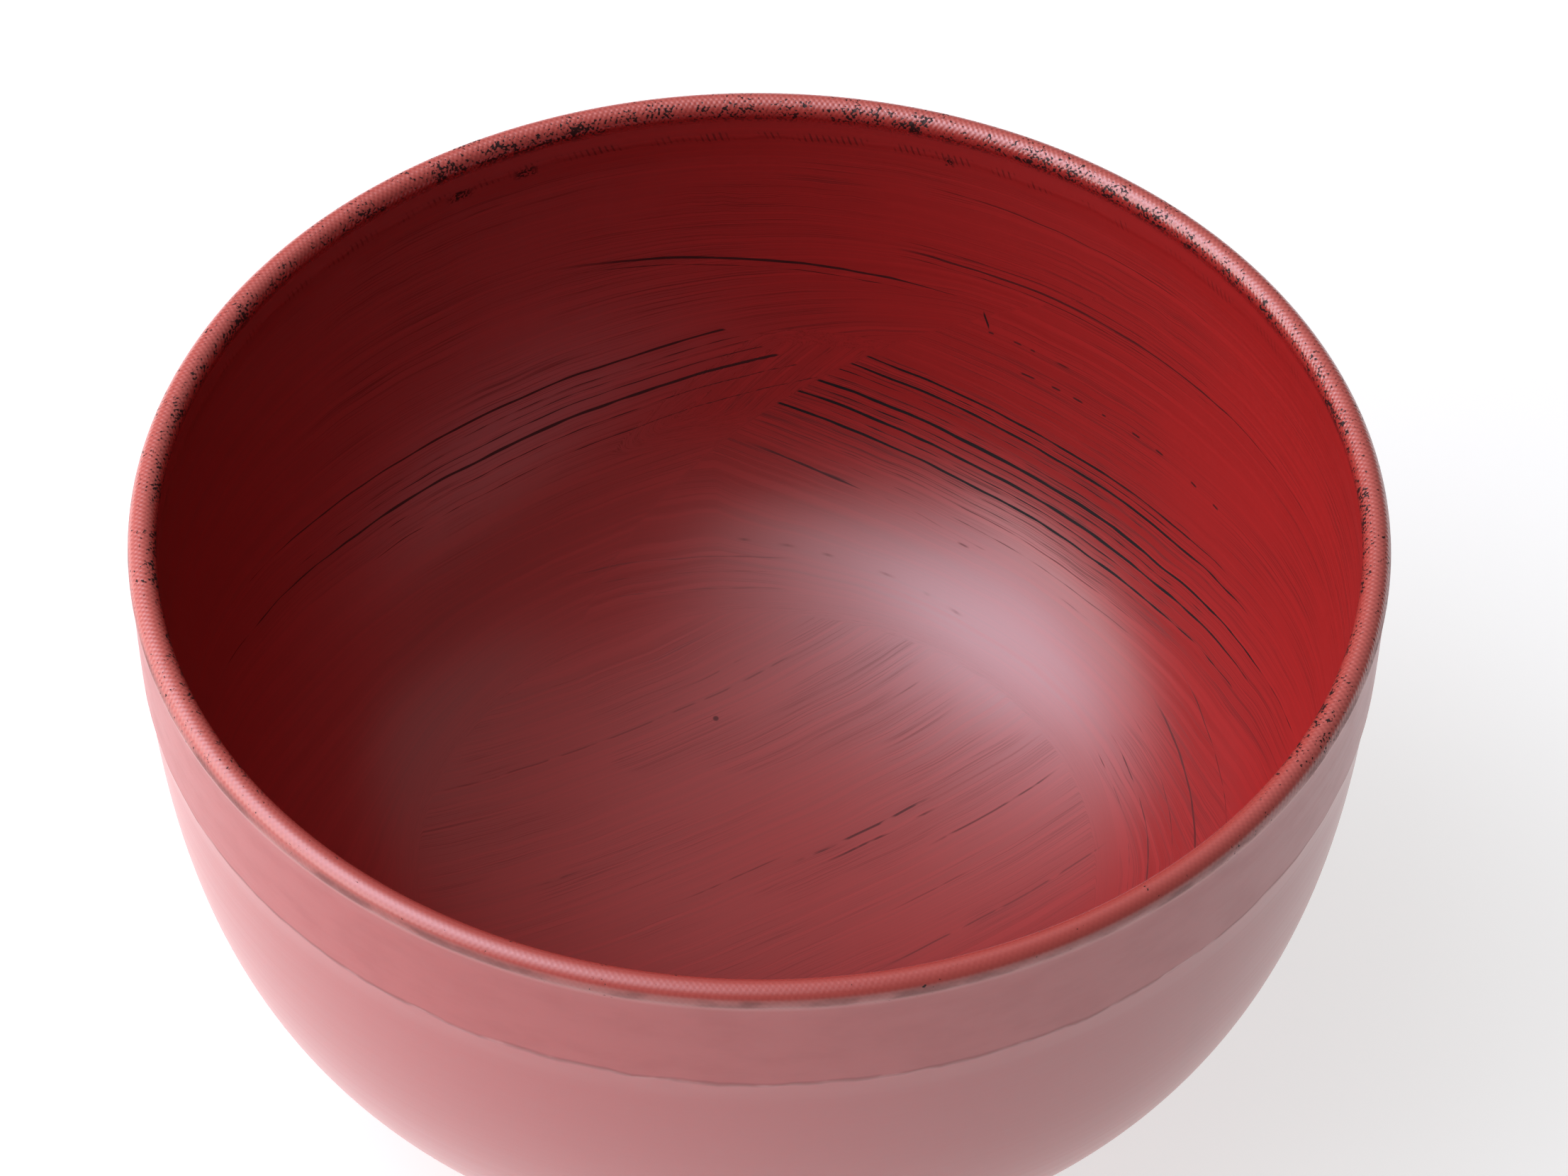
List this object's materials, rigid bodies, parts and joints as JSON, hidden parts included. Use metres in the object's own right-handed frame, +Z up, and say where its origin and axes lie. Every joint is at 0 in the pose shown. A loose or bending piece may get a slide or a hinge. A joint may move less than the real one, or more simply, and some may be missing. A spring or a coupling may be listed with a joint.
{
  "type": "soup bowl",
  "caption": "Round turned wooden soup bowl on a low foot ring, its lip bound with cloth under red lacquer brushed over black, for a serving of soup.",
  "frame": {"origin": "centre of the foot ring, on the surface that the bowl stands on", "axes": "+Z up along the bowl's axis; X and Y are any two directions across it, with -Y towards the viewer of the picture"},
  "size_m": [0.12, 0.12, 0.07],
  "materials": {
    "wood": "turned, sealed",
    "cloth": "hemp weave set in lacquer",
    "putty": "sanded putty",
    "black_lacquer": "satin",
    "red_lacquer": "satin, brushed, worn to the black in places",
    "foot_lacquer": "satin"
  },
  "bodies": {
    "root": {"wood_core": "wood", "rim_cloth": "cloth", "rim_filler_inside": "putty", "rim_filler_outside": "putty", "black_coat_inside": "black_lacquer", "black_coat_outside": "black_lacquer", "red_coat_inside": "red_lacquer", "red_coat_outside": "red_lacquer", "foot_coat": "foot_lacquer"}
  },
  "joints": []
}
